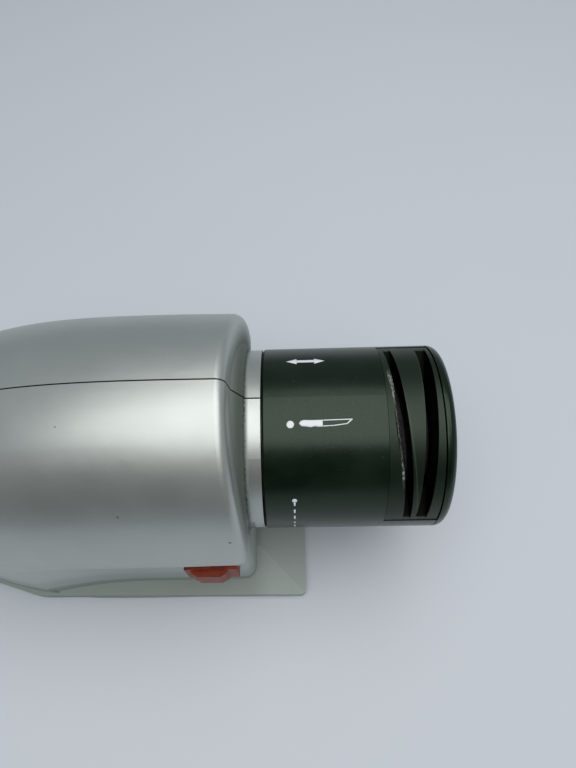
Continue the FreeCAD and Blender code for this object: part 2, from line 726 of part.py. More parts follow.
coils = []
for up, tag in ((-1, "low"), (1, "high")):
    level = f"axis_height + {up} * (coil_low + coil_height / 2) - coil_height / 2"
    whole = box(f"coil_{tag}_whole",
                ("core_length + 2 * coil_overhang", "2 * (coil_inner + coil_width)", "coil_height"),
                ("core_start - coil_overhang", "-coil_inner - coil_width", level))
    middle = box(f"coil_{tag}_middle",
                 ("core_length + 2 * coil_overhang - 10", "2 * coil_inner", "coil_height + 2"),
                 ("core_start - coil_overhang + 5", "-coil_inner", f"{level} - 1"))
    coils.append(cut(f"coil_{tag}", whole, [middle]))
node(group("field_coils", coils), "field_coils")

BRUSH_X = number("commutator_start + commutator_length / 2")
holders, brushes, springs = [], [], []
for side, tag in ((-1, "front"), (1, "back")):
    near = "commutator_radius + 0.1" if side > 0 else "-commutator_radius - 0.1 - 9"
    brushes.append(box(f"brush_{tag}", ("5", "9", "6"), (str(BRUSH_X - 2.5), near, "axis_height - 3")))
    low = "11" if side > 0 else "-11 - 15"
    holder = box(f"holder_block_{tag}", ("8", "15", "9"), (str(BRUSH_X - 4), low, "axis_height - 4.5"))
    brush_room = box(f"holder_room_{tag}", ("5.2", "13.5", "6.2"),
                     (str(BRUSH_X - 2.6), "10" if side > 0 else "-10 - 13.5", "axis_height - 3.1"))
    holders.append(cut(f"holder_{tag}", holder, [brush_room]))
    helix = doc.addObject("Part::Helix", f"spring_path_{tag}")
    helix.Pitch = 0.9
    helix.Height = 4.5
    helix.Radius = 1.9
    spring_start = "18.4" if side > 0 else "-18.4 - 4.5"
    move(helix, str(BRUSH_X), spring_start, "axis_height", ALONG_Y)
    wire = doc.addObject("Part::Circle", f"spring_wire_{tag}")
    wire.Radius = 0.2
    move(wire, f"{BRUSH_X} + 1.9", spring_start, "axis_height", ALONG_Z)
    sweep = doc.addObject("Part::Sweep", f"spring_{tag}")
    sweep.Sections = [wire]
    sweep.Spine = (helix, [])
    sweep.Solid = True
    sweep.Frenet = True
    springs.append(sweep)
node(group("brush_holders", holders), "brush_holders")
node(group("carbon_brushes", brushes), "carbon_brushes")
node(group("brush_springs", springs), "brush_springs")

# ---------------------------------------------------------------- rotor

node(turned("rotor_shaft", [
    ("shaft_rear", "0"), ("shaft_rear", "shaft_rear_radius"), ("-46", "shaft_rear_radius"),
    ("-46", "shaft_radius"), ("72.5", "shaft_radius"), ("72.5", "5.5"), ("74.5", "5.5"),
    ("74.5", "shaft_radius"), ("86", "shaft_radius"), ("86", "shaft_rear_radius"),
    ("shaft_end - 0.6", "shaft_rear_radius"), ("shaft_end", "shaft_rear_radius - 0.6"),
    ("shaft_end", "0")]), "rotor_shaft")
core = sleeve("core_stack", "core_start", "core_start + core_length", "shaft_radius", "armature_radius")
SLOTS = 12
grooves = []
for index in range(SLOTS):
    groove = doc.addObject("Part::Box", f"core_slot_{index}")
    bind(groove, "Length", "core_length + 2")
    groove.Width = 1.6
    groove.Height = 6.0
    angle = 360.0 * index / SLOTS
    turn = Rotation(Vector(1, 0, 0), angle)
    corner = turn.multVec(Vector(0, -0.8, number("armature_radius") - 4.5))
    groove.Placement = FreeCAD.Placement(Vector(number("core_start") - 1, corner.y, AXIS + corner.z), turn)
    grooves.append(groove)
node(cut("armature_core", core, grooves), "armature_core")
bundles = []
for tag, start, end in (("rear", "core_start - 6", "core_start"),
                        ("front", "core_start + core_length", "core_start + core_length + 6")):
    bundles.append(turned(f"bundle_{tag}", [
        (start, "shaft_radius"), (end, "shaft_radius"), (end, "11.4"), (f"{end} - 1", "12.4"),
        (f"{start} + 1", "12.4"), (start, "11.4")]))
node(group("armature_windings", bundles), "armature_windings")
drum = sleeve("commutator_drum", "commutator_start", "commutator_start + commutator_length",
              "shaft_radius", "commutator_radius")
slits = []
for index in range(SLOTS):
    slit = doc.addObject("Part::Box", f"commutator_slit_{index}")
    bind(slit, "Length", "commutator_length + 2")
    slit.Width = 0.5
    slit.Height = 2.0
    turn = Rotation(Vector(1, 0, 0), 360.0 * (index + 0.5) / SLOTS)
    corner = turn.multVec(Vector(0, -0.25, number("commutator_radius") - 1.0))
    spot = Vector(number("commutator_start") - 1, corner.y, AXIS + corner.z)
    slit.Placement = FreeCAD.Placement(spot, turn)
    slits.append(slit)
node(cut("commutator", drum, slits), "commutator")

hub = sleeve("fan_hub", "fan_start", "fan_start + fan_depth", "shaft_radius", "7")
disc = sleeve("fan_disc", "fan_start", "fan_start + 1.6", "6.5", "fan_radius")
BLADES = 9
blades = []
for index in range(BLADES):
    blade = doc.addObject("Part::Box", f"fan_blade_{index}")
    bind(blade, "Length", "fan_depth - 1")
    blade.Width = 1.2
    bind(blade, "Height", "fan_radius - 7")
    turn = Rotation(Vector(1, 0, 0), 360.0 * index / BLADES)
    corner = turn.multVec(Vector(0, -0.6, 6.5))
    blade.Placement = FreeCAD.Placement(Vector(number("fan_start") + 0.8, corner.y, AXIS + corner.z), turn)
    blades.append(blade)
node(fuse("cooling_fan", [hub, disc] + blades), "cooling_fan")

node(sleeve("rear_flange", "74.5", "wheel_start", "shaft_radius", "10"), "rear_flange")
node(turned("grinding_wheel", [
    ("wheel_start", "shaft_radius"), ("wheel_start", "wheel_radius - 3"),
    ("wheel_start + 2.5", "wheel_radius"),
    ("wheel_end - 2.5", "wheel_radius"), ("wheel_end", "wheel_radius - 3"), ("wheel_end", "10"),
    ("wheel_recess", "10"), ("wheel_recess", "shaft_radius")]), "grinding_wheel")
node(sleeve("wheel_washer", "wheel_recess", "wheel_recess + 1.5", "shaft_radius", "8.5"), "wheel_washer")
NUT_CORNER = 5.2
NUT_ANGLES = [math.radians(60 * side) for side in range(6)]
hexagon = [(f"{NUT_CORNER * math.cos(angle):.4f}", f"{NUT_CORNER * math.sin(angle):.4f}")
           for angle in NUT_ANGLES]
nut = padded("nut_blank", hexagon, "3.4", ("wheel_recess + 1.5", "0", "axis_height"), "YZ_Plane")
node(cut("wheel_nut", nut, [rod("nut_bore", "shaft_rear_radius", "20",
                                ("wheel_recess", "0", "axis_height"))]), "wheel_nut")

# ---------------------------------------------------------------- index ring and guide head

KEY_ANGLES = (150, 210, 270)


def keys(name, grow):
    """Three axial ribs on the index ring, or, grown by the sliding play, their grooves in the head."""
    ribs = []
    for index, angle in enumerate(KEY_ANGLES):
        rib = doc.addObject("Part::Box", f"{name}_{index}")
        bind(rib, "Length", f"index_end - index_start - 1 + {20 if grow else 0}")
        bind(rib, "Width", f"key_width + {grow}")
        bind(rib, "Height", f"key_height + 1 + {grow}")
        turn = Rotation(Vector(1, 0, 0), angle)
        low = number("head_radius - head_wall") - 1.0
        corner = turn.multVec(Vector(0, -number("key_width") / 2 - grow / 2, low))
        rib.Placement = FreeCAD.Placement(Vector(number("index_start") - (10 if grow else 0),
                                                 corner.y, AXIS + corner.z), turn)
        ribs.append(rib)
    return ribs


index = sleeve("index_sleeve", "index_start", "index_end", "carrier_radius + index_play",
               "head_radius - head_wall - index_play * 2")
node(fuse("index_ring", [index] + keys("index_key", 0)), "index_ring")
clip = sleeve("clip_ring", "56.4", "57.4", "carrier_radius - 0.9", "carrier_radius + 2.4")
clip_gap = box("clip_gap", ("4", "8", "12"), ("55", "-4", "axis_height - carrier_radius - 6"))
node(cut("index_clip", clip, [clip_gap]), "index_clip")
band = doc.addObject("Part::Torus", "friction_ring")
bind(band, "Radius1", "carrier_radius - 0.9")
bind(band, "Radius2", "0.85")
node(move(band, "44.1", "0", "axis_height", ALONG_X), "friction_ring")

head_tube = turned("head_tube", [
    ("head_start", "head_radius - head_wall"), ("head_start", "head_radius - 0.9"),
    ("head_start + 0.5", "head_radius - 0.3"), ("cap_start - 0.3", "head_radius"),
    ("cap_start - 0.3", "head_radius - head_wall")])


def sector(name, start, end, inner, outer, play):
    """A part-turned block over the guide window; play trims it at both ends."""
    spun = turned(name, [(start, inner), (end, inner), (end, outer), (start, outer)],
                  sweep=f"window_sweep - 2 * {play}")
    back = Rotation(Vector(1, 0, 0), number("window_back") + play)
    return move(spun, "0", "0", "axis_height", back)


opening = sector("window_cutter", "window_start", "head_end", "head_radius - head_wall - 2",
                 "head_radius + 3", 0)
POST_ANGLES = (160, 250)
POST_RADIUS = 23.9
post_spots = []
for angle in POST_ANGLES:
    place = Rotation(Vector(1, 0, 0), angle).multVec(Vector(0, 0, POST_RADIUS))
    post_spots.append((str(place.y), f"axis_height + {place.z}"))
cap_posts = [rod(f"cap_post_{place_no}", "3.4", "12", ("cap_start - 12.3", *spot))
             for place_no, spot in enumerate(post_spots)]
post_bores = [rod(f"cap_post_bore_{place_no}", "screw_radius + screw_play", "10", ("cap_start - 9", *spot))
              for place_no, spot in enumerate(post_spots)]
windowed = cut("head_windowed", head_tube, [opening] + keys("head_keyway", 0.4))
node(cut("head_shell", fuse("head_blank", [windowed] + cap_posts), post_bores), "head_shell")

insert = sector("insert_block", "window_start + 0.15", "cap_start - 0.4", "insert_inner",
                "head_radius - insert_sink", 0.3)
SLOT_REACH = 64.0
surface = "(head_radius - insert_sink)"
left_gap = [("0", "slot_floor"), ("0", f"{surface} + lead_in_depth"),
            ("-left_slot_width - 2 * lead_in_width", f"{surface} + lead_in_depth"),
            ("-left_slot_width", f"{surface} - lead_in_depth"),
            ("-left_slot_width + left_slot_taper", "slot_floor")]
right_gap = [("0", "slot_floor"), ("0", f"{surface} + 1"), ("right_slot_width", f"{surface} + 1"),
             ("right_slot_width", surface), ("right_slot_width - right_slot_taper", "slot_floor")]
slot_tools = []
for tag, gap in (("left", left_gap), ("right", right_gap)):
    tilt = Rotation(Vector(1, 0, 0), number("slot_middle"))
    tilt = tilt.multiply(Rotation(Vector(0, 0, 1), number(f"{tag}_slot_lean")))
    start = tilt.multVec(Vector(0, SLOT_REACH / 2, 0))
    slot_tools.append(padded(f"slot_{tag}", gap, str(SLOT_REACH),
                             (f"{tag}_slot_wall + {start.x}", str(start.y), f"axis_height + {start.z}"),
                             "XZ_Plane", tilt))
node(cut("guide_insert", insert, slot_tools), "guide_insert")

cap_arc = [(f"head_end - cap_round * {1 - math.sin(math.radians(step)):.4f}",
            f"head_radius - cap_round * {1 - math.cos(math.radians(step)):.4f}") for step in range(0, 91, 15)]
cap_outline = [("cap_start", "0"), ("cap_start", "head_radius")] + cap_arc + [("head_end", "0")]
cap = turned("cap_turning", cap_outline)
cap_holes = []
cap_screws = []
TOWARDS_MOTOR = Rotation(Vector(0, 1, 0), -90)
for place_no, spot in enumerate(post_spots):
    cap_holes.append(rod(f"cap_hole_{place_no}", "screw_radius + screw_play", "8", ("cap_start - 2", *spot)))
    cap_holes.append(rod(f"cap_sink_{place_no}", "screw_head_radius + head_play", "5",
                         ("head_end - screw_head_height - 0.2", *spot)))
    cap_screws.append(screw(f"cap_screw_{place_no}", "8", ("head_end - 0.2", *spot), TOWARDS_MOTOR))
node(cut("end_cap", cap, cap_holes), "end_cap")
node(group("end_cap_screws", cap_screws), "end_cap_screws")

# ---------------------------------------------------------------- switch

SWITCH_LEFT = "switch_x - switch_length / 2"
SWITCH_LOW = "switch_z - switch_height / 2"


def switch_box(name, end_inset, side_inset, depth, out):
    """A block inside the switch's outline, of some depth, whose front stands out from the recess wall."""
    return box(name, (f"switch_length - 2 * {end_inset}", depth, f"switch_height - 2 * {side_inset}"),
               (f"{SWITCH_LEFT} + {end_inset}", f"-recess_face - {out}", f"{SWITCH_LOW} + {side_inset}"))


bezel = switch_box("switch_flange", 0, 0, "1.2", "1.2")
can = switch_box("switch_can", 0.8, 0.8, "switch_depth", "0.6")
rocker_room = switch_box("switch_room", 2.2, 2.2, "8", "3")
PIN_AXIS = ("switch_x", "-recess_face + rocker_depth")
sockets = rod("pin_sockets", "rocker_pin + 0.05", "switch_height - 2.4", (*PIN_AXIS, f"{SWITCH_LOW} + 1.2"),
              ALONG_Z)
node(cut("switch_body", fuse("switch_case", [bezel, can]), [rocker_room, sockets]), "switch_body")
ROCKER_HALF = 5.4
rocker_side = [(str(-ROCKER_HALF), "-0.8"), (str(-ROCKER_HALF), "-1.8"), ("0", "-2.4"),
               (str(ROCKER_HALF), "-1.8"), (str(ROCKER_HALF), "-0.8"), ("2.5", "2"), ("-2.5", "2")]
key = padded("rocker_key", rocker_side, "switch_height - 5.4", (*PIN_AXIS, f"{SWITCH_LOW} + 2.7"),
             turn=Rotation(Vector(0, 0, 1), number("rocker_tilt")))
pivot = rod("rocker_pin", "rocker_pin", "switch_height - 2.8", (*PIN_AXIS, f"{SWITCH_LOW} + 1.4"), ALONG_Z)
node(fuse("rocker_with_pin", [key, pivot]), "switch_rocker")

skirt = box("cover_skirt", ("switch_length + 0.4", "cover_step", "switch_height + 0.4"),
            (f"{SWITCH_LEFT} - 0.2", "-recess_face - cover_step", f"{SWITCH_LOW} - 0.2"))
DOME_SHIFT = -0.5
DOME_BASE, DOME_SHOULDER, DOME_TOP = 6.3, 5.6, 3.6
DOME_RISE = "(cover_rise - cover_step)"
dome_side = [(str(-DOME_BASE), "0"), (str(DOME_BASE), "0"), (str(DOME_SHOULDER), f"-{DOME_RISE} * 0.5"),
             (str(DOME_TOP), f"-{DOME_RISE}"), (str(-DOME_TOP), f"-{DOME_RISE}"),
             (str(-DOME_SHOULDER), f"-{DOME_RISE} * 0.5")]
dome = padded("cover_dome", dome_side, "switch_height - 3",
              (f"switch_x + {DOME_SHIFT}", "-recess_face - cover_step", f"{SWITCH_LOW} + 1.5"))
bezel_room = switch_box("cover_bezel_room", 0, 0, "1.2", "1.2")
skirt_room = switch_box("cover_skirt_room", 1.6, 2.3, "2.2", "2.2")
dome_room = switch_box("cover_dome_room", 4.4, 3.0, "4", "4")
node(cut("switch_cover", fuse("cover_blank", [skirt, dome]), [bezel_room, skirt_room, dome_room]),
     "switch_cover")
TERMINAL_PLACES = (-4.4, 3.6)
terminals = [box(f"terminal_{index}", ("0.8", "7", "4.8"),
                 (f"switch_x + {offset}", "-recess_face - 0.6 + switch_depth", "switch_z - 2.4"))
             for index, offset in enumerate(TERMINAL_PLACES)]
node(group("switch_terminals", terminals), "switch_terminals")

# ---------------------------------------------------------------- supply inlet

node(sleeve("gland_tube", "tail + 0.2", "tail + gland_length", "gland_bore", "gland_radius", "gland_height"),
     "cord_gland")
CLAMP_X = -66.0
CLAMP_SIDES = (-9.0, 9.0)
PLATE_LEVEL = "plinth_low + plate_thick"
STRAP_LEVEL = f"{PLATE_LEVEL} + 6.5"
clamp_posts, strap_holes, clamp_screws = [], [], []
DOWN = Rotation(Vector(1, 0, 0), 180)
for index, side in enumerate(CLAMP_SIDES):
    spot = (str(CLAMP_X), str(side))
    pillar = rod(f"clamp_pillar_{index}", "3.2", "6.5", (*spot, PLATE_LEVEL), ALONG_Z)
    pilot = rod(f"clamp_pilot_{index}", "screw_radius + screw_play", "10",
                (*spot, f"{PLATE_LEVEL} + 1"), ALONG_Z)
    clamp_posts.append(cut(f"clamp_post_{index}", pillar, [pilot]))
    strap_holes.append(rod(f"clamp_hole_{index}", "screw_radius + screw_play", "12",
                           (*spot, f"{PLATE_LEVEL} + 4"), ALONG_Z))
    clamp_screws.append(screw(f"clamp_screw_{index}", "7",
                              (*spot, f"{STRAP_LEVEL} + 2.4 + screw_head_height"), DOWN))
node(group("clamp_posts", clamp_posts), "clamp_posts")
strap = box("clamp_bar", ("7", "25", "2.4"), (f"{CLAMP_X} - 3.5", "-12.5", STRAP_LEVEL))
node(cut("cord_clamp", strap, strap_holes), "cord_clamp")
node(group("clamp_screws", clamp_screws), "clamp_screws")
node(box("capacitor", ("18", "8.5", "14"), ("-48", "10", PLATE_LEVEL)), "capacitor")

# ---------------------------------------------------------------- check and write

doc.recompute()
broken = [thing.Name for thing in doc.Objects if {"Invalid", "Error"} & set(thing.State)]
for thing in nodes:
    shape = thing.Shape
    if shape.isNull() or not shape.isValid() or not shape.Solids or shape.Volume <= 0:
        broken.append(thing.Label)
if broken:
    raise RuntimeError(f"sub-parts not built: {broken}")
os.makedirs("parts", exist_ok=True)
for thing in nodes:
    thing.Shape.exportStep(f"parts/{thing.Label}.step")
print(len(nodes), "sub-parts written")
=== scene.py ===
"""Looks of the bench-top sharpener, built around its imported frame."""

import json
import math

import bmesh
import bpy
from mathutils import Matrix, Vector


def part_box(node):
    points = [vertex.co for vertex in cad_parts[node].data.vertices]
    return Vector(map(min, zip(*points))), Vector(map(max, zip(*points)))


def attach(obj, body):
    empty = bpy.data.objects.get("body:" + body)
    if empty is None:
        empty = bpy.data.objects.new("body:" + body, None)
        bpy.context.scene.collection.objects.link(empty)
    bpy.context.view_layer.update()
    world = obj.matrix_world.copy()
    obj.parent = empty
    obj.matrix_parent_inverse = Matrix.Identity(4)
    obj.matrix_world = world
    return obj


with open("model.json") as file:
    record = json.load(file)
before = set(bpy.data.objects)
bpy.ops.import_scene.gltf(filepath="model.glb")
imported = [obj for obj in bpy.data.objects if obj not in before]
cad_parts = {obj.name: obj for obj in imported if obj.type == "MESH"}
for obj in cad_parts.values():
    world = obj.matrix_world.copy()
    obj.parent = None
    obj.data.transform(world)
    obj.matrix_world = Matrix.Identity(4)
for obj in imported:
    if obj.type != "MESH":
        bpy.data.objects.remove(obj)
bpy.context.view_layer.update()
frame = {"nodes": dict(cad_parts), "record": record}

MM = 0.001
nodes = frame["nodes"]

# Places taken from the frame, in metres.
CAP_LOW, CAP_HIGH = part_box("end_cap")
SPINDLE = (CAP_LOW.z + CAP_HIGH.z) / 2
HEAD_RADIUS = (CAP_HIGH.z - CAP_LOW.z) / 2
HEAD_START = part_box("head_shell")[0].x
COLLAR_START = HEAD_START - 5.2 * MM
INSERT_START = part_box("guide_insert")[0].x
# Degrees about the spindle for one millimetre along the head's surface
DEG_PER_MM = math.degrees(MM / HEAD_RADIUS)


def add_object(name, data):
    """A new object in the scene."""
    piece = bpy.data.objects.new(name, data)
    bpy.context.scene.collection.objects.link(piece)
    return piece


def aim(piece, place, target):
    """Put a piece at place, with its -Z side towards target."""
    piece.location = place
    piece.rotation_euler = (Vector(target) - Vector(place)).to_track_quat("-Z", "Y").to_euler()


# ---------------------------------------------------------------- shader helpers

class Finish:
    """A procedural material: a Principled shader and the nodes that feed it, in millimetres of the piece."""

    def __init__(self, name, color, roughness, metallic=0.0):
        self.material = bpy.data.materials.new(name)
        self.material.use_nodes = True
        self.tree = self.material.node_tree
        self.shader = self.tree.nodes["Principled BSDF"]
        self.put("Base Color", (*color, 1.0))
        self.put("Roughness", roughness)
        self.put("Metallic", metallic)
        place = self.add("ShaderNodeTexCoord")
        scale = self.add("ShaderNodeVectorMath", operation="SCALE")
        scale.inputs["Scale"].default_value = 1 / MM
        self.join(place.outputs["Object"], scale.inputs[0])
        self.place = scale.outputs[0]
        split = self.add("ShaderNodeSeparateXYZ")
        self.join(self.place, split.inputs[0])
        self.x, self.y, self.z = split.outputs

    def add(self, kind, **settings):
        node = self.tree.nodes.new(kind)
        for name, value in settings.items():
            setattr(node, name, value)
        return node

    def join(self, source, target):
        self.tree.links.new(source, target)

    def feed(self, value, target):
        """Set a socket from a number, a colour or another node's output."""
        if isinstance(value, bpy.types.NodeSocket):
            self.join(value, target)
        elif isinstance(value, tuple) and len(value) == 3 and target.type == "RGBA":
            target.default_value = (*value, 1.0)
        else:
            target.default_value = value

    def put(self, socket, value):
        self.feed(value, self.shader.inputs[socket])

    def math(self, operation, *values):
        node = self.add("ShaderNodeMath", operation=operation)
        for value, target in zip(values, node.inputs):
            self.feed(value, target)
        return node.outputs[0]

    # Short names for the sums that the materials repeat

    def times(self, first, second):
        return self.math("MULTIPLY", first, second)

    def plus(self, first, second):
        return self.math("ADD", first, second)

    def minus(self, first, second):
        return self.math("SUBTRACT", first, second)

    def most(self, first, second):
        return self.math("MAXIMUM", first, second)

    def absolute(self, value):
        return self.math("ABSOLUTE", value)

    def noise(self, scale, detail=2.0, roughness=0.5, stretch=(1.0, 1.0, 1.0)):
        """Fractal noise, 0 to 1, with about scale features a millimetre."""
        vector = self.place
        if stretch != (1.0, 1.0, 1.0):
            squeeze = self.add("ShaderNodeVectorMath", operation="MULTIPLY")
            self.join(vector, squeeze.inputs[0])
            squeeze.inputs[1].default_value = stretch
            vector = squeeze.outputs[0]
        node = self.add("ShaderNodeTexNoise")
        node.inputs["Scale"].default_value = scale
        node.inputs["Detail"].default_value = detail
        node.inputs["Roughness"].default_value = roughness
        self.join(vector, node.inputs["Vector"])
        return node.outputs["Fac"]

    def cells(self, scale):
        """Distance to scattered points, about scale of them a millimetre."""
        node = self.add("ShaderNodeTexVoronoi")
        node.inputs["Scale"].default_value = scale
        self.join(self.place, node.inputs["Vector"])
        return node.outputs["Distance"]

    def step(self, value, low, high):
        """A smooth rise from 0 at low to 1 at high, or a fall where low is the larger."""
        node = self.add("ShaderNodeMapRange", interpolation_type="SMOOTHSTEP")
        falling = low > high
        self.feed(value, node.inputs["Value"])
        node.inputs["From Min"].default_value = min(low, high)
        node.inputs["From Max"].default_value = max(low, high)
        node.inputs["To Min"].default_value = 1.0 if falling else 0.0
        node.inputs["To Max"].default_value = 0.0 if falling else 1.0
        return node.outputs["Result"]

    def spread(self, value, low, high):
        """A 0 to 1 value stretched to another range."""
        node = self.add("ShaderNodeMapRange")
        self.feed(value, node.inputs["Value"])
        node.inputs["To Min"].default_value = low
        node.inputs["To Max"].default_value = high
        return node.outputs["Result"]

    def band(self, value, middle, half, soft):
        """1 within half of middle, falling to 0 over soft more."""
        offset = self.absolute(self.minus(value, middle))
        return self.step(offset, half + soft, half)

    def mix(self, share, first, second):
        """The first colour where share is 0, the second where it is 1."""
        node = self.add("ShaderNodeMix", data_type="RGBA")
        self.feed(share, node.inputs[0])
        self.feed(first, node.inputs[6])
        self.feed(second, node.inputs[7])
        return node.outputs[2]

    def bump(self, *layers):
        """Fine relief from (height, depth in millimetres) layers."""
        normal = None
        for height, depth in layers:
            node = self.add("ShaderNodeBump")
            node.inputs["Strength"].default_value = 1.0
            node.inputs["Distance"].default_value = depth * MM
            self.join(height, node.inputs["Height"])
            if normal is not None:
                self.join(normal, node.inputs["Normal"])
            normal = node.outputs["Normal"]
        self.put("Normal", normal)

    def around(self):
        """Angle about the spindle in degrees: 0 at the top, positive towards the front."""
        drop = self.minus(self.z, SPINDLE / MM)
        turn = self.math("ARCTAN2", self.times(self.y, -1.0), drop)
        return self.times(turn, 180 / math.pi)

    def reach(self):
        """Distance from the spindle's axis."""
        drop = self.minus(self.z, SPINDLE / MM)
        square = self.plus(self.times(self.y, self.y), self.times(drop, drop))
        return self.math("SQRT", square)


# ---------------------------------------------------------------- materials

# Dark specks on the case: millimetres along the spindle, degrees forward of the top, radius in millimetres
SPECKS = [(-1.6, 53.0, 0.4), (28.2, 68.0, 0.45), (-17.4, 17.5, 0.3)]
# Their distance from the spindle, and the width of their soft edge
SPECK_REACH = 42.0
SPECK_SOFT = 0.25
SILVER_DARK, SILVER_PALE = (0.475, 0.505, 0.485), (0.515, 0.545, 0.525)
FLAKE_GLINT = (0.66, 0.69, 0.68)
# Painted shade darkens the plinth; painted light makes it paler under the head, where the head shades it
PLINTH_SHADE, PLINTH_LIT_UNDER_HEAD = (0.29, 0.325, 0.30), (0.37, 0.41, 0.385)
# Painted shade in the crescent where the nose meets the collar
COLLAR_SHADE_COLOR = (0.055, 0.075, 0.058)
DIRT = (0.035, 0.038, 0.032)
# Painted shade in the seam's groove between the case's two halves
SEAM_GROOVE_SHADE = (0.012, 0.012, 0.01)
SEAM_HALF, SEAM_CORE = 0.26, 0.19
METALLIC = 0.76


def painted_plinth_shade(finish):
    """Painted shade: how far the paint is dulled and darkened, fully on the plinth, and slightly on the wall
    just above it.
    """
    wall = finish.times(finish.step(finish.z, 27.0, 19.0), 0.35)
    return finish.most(wall, finish.step(finish.z, 14.0, 10.8))


def collar_shade(finish, reach, turn):
    """Painted shade: a dark crescent on the nose where it meets the collar, on the top and the flanks."""
    nose = finish.band(finish.x, COLLAR_START / MM - 3.4, 3.3, 1.6)
    shade = finish.times(finish.step(reach, 40.5, 31.5), nose)
    return finish.times(shade, finish.step(finish.absolute(turn), 125.0, 60.0))


def collar_grime(finish, reach, turn):
    """Grime caught at the collar's root, with a smear low on the front."""
    root = finish.band(finish.x, COLLAR_START / MM + 0.1, 0.2, 0.3)
    worn = finish.step(finish.noise(1.1, 4.0, 0.7), 0.5, 0.58)
    low_smear = finish.times(finish.band(turn, 97.0, 7.0, 7.0),
                             finish.band(finish.x, COLLAR_START / MM + 0.6, 0.8, 1.0))
    smear = finish.times(low_smear, finish.step(finish.noise(0.9, 4.0, 0.7), 0.40, 0.56))
    near_axis = finish.step(reach, 33.0, 31.0)
    return finish.times(finish.times(finish.most(finish.times(root, worn), smear), near_axis), 0.9)


def with_specks(finish, grime, turn):
    """Grime plus the small dark specks."""
    wobble = finish.times(finish.noise(1.3, 2.0), 0.4)
    for x, angle, radius in SPECKS:
        away = finish.times(finish.minus(turn, angle), math.radians(SPECK_REACH))
        along = finish.minus(finish.x, x)
        square = finish.plus(finish.times(away, away), finish.times(along, along))
        gap = finish.plus(finish.math("SQRT", square), wobble)
        speck = finish.step(gap, radius + SPECK_SOFT, radius)
        grime = finish.most(grime, finish.times(speck, 0.85))
    return grime


def silver_paint():
    """Metallic satin paint: dull and darker on the plinth as painted shade, paler under the head as painted
    light, with painted shade in the crescent at the collar and in the seam, grimy at the collar's root, and
    with a few dark specks.
    """
    finish = Finish("silver_paint", (0.5, 0.53, 0.51), 0.42, METALLIC)
    turn = finish.around()
    reach = finish.reach()
    cloud = finish.noise(0.02, 3.0, 0.55)
    flake = finish.noise(5.0, 1.0, 0.5)
    color = finish.mix(finish.step(cloud, 0.35, 0.65), SILVER_DARK, SILVER_PALE)
    color = finish.mix(finish.times(finish.step(flake, 0.5, 0.75), 0.18), color, FLAKE_GLINT)
    # Painted shade dulls and darkens the plinth and the wall above it; painted light makes the plinth paler
    # under the head
    low = painted_plinth_shade(finish)
    lit_under_head = finish.step(finish.x, COLLAR_START / MM - 4.0, COLLAR_START / MM + 6.0)
    color = finish.mix(low, color, finish.mix(lit_under_head, PLINTH_SHADE, PLINTH_LIT_UNDER_HEAD))
    # Painted shade: a dark crescent on the nose at the collar
    shade = collar_shade(finish, reach, turn)
    color = finish.mix(finish.times(shade, 0.92), color, COLLAR_SHADE_COLOR)
    grime = with_specks(finish, collar_grime(finish, reach, turn), turn)
    color = finish.mix(grime, color, DIRT)
    # Painted shade: darker paint in the seam's groove
    seam = finish.step(finish.absolute(finish.y), SEAM_HALF, SEAM_CORE)
    finish.put("Base Color", finish.mix(seam, color, SEAM_GROOVE_SHADE))
    matt = finish.most(finish.most(low, finish.most(grime, seam)), shade)
    finish.put("Metallic", finish.spread(matt, METALLIC, 0.0))
    rubbed = finish.spread(finish.noise(0.09, 4.0, 0.6), 0.34, 0.46)
    finish.put("Roughness", finish.plus(rubbed, finish.times(matt, 0.25)))
    finish.bump((flake, 0.004), (finish.noise(0.7, 2.0), 0.006))
    return finish.material


# Slightly green reflections of the head's black plastic
HEAD_TINT = (0.80, 1.0, 0.83)
# A film of dust makes a dark plastic this many times paler, plus a little
DUST_GAIN, DUST_LIFT = 1.8, 0.0015
SCUFF = (0.13, 0.15, 0.115)


def black_plastic(name, color, grain, roughness, scuffs=0.0, gloss=0.5, tint=(1.0, 1.0, 1.0)):
    """Moulded black plastic with a fine grain, and scuffs where it is handled."""
    finish = Finish(name, color, roughness)
    finish.put("Specular IOR Level", gloss)
    finish.put("Specular Tint", tint)
    cloud = finish.noise(0.05, 3.0, 0.6)
    fine = finish.noise(grain, 2.0, 0.5)
    dusty = tuple(part * DUST_GAIN + DUST_LIFT for part in color)
    tone = finish.mix(finish.step(cloud, 0.35, 0.7), color, dusty)
    rough = finish.spread(cloud, roughness - 0.05, roughness + 0.08)
    layers = [(fine, 0.006)]
    if scuffs:
        turn = finish.around()
        patch = finish.times(finish.band(turn, 12.0, 10.0, 16.0),
                             finish.band(finish.x, HEAD_START / MM + 20.0, 10.0, 12.0))
        dust = finish.step(finish.noise(2.2, 5.0, 0.75), 0.54, 0.72)
        hairs = finish.step(finish.noise(0.7, 3.0, 0.6, (0.9, 1.6, 2.4)), 0.68, 0.73)
        marks = finish.times(finish.most(finish.times(dust, patch), finish.times(hairs, 0.3)), scuffs)
        tone = finish.mix(marks, tone, SCUFF)
        rough = finish.plus(rough, finish.times(marks, 0.25))
        layers.append((hairs, 0.004))
    finish.put("Base Color", tone)
    finish.put("Roughness", rough)
    finish.bump(*layers)
    return finish.material


INSERT_BLACK, INSERT_PALE = (0.005, 0.010, 0.005), (0.010, 0.016, 0.010)
# Painted shade deep in the slots
SLOT_SHADE = (0.0008, 0.001, 0.0008)
# Painted highlight along the slots' edges
RIM_HIGHLIGHT = (0.045, 0.055, 0.042)
RIDGE_WORN = (0.06, 0.07, 0.055)
SCRAPE = (0.42, 0.43, 0.40)
# How far the two slots and the scraped ridge lean, in millimetres along the spindle for each degree of turn
LEFT_LEAN, RIGHT_LEAN, RIDGE_LEAN = 0.056, -0.018, 0.045


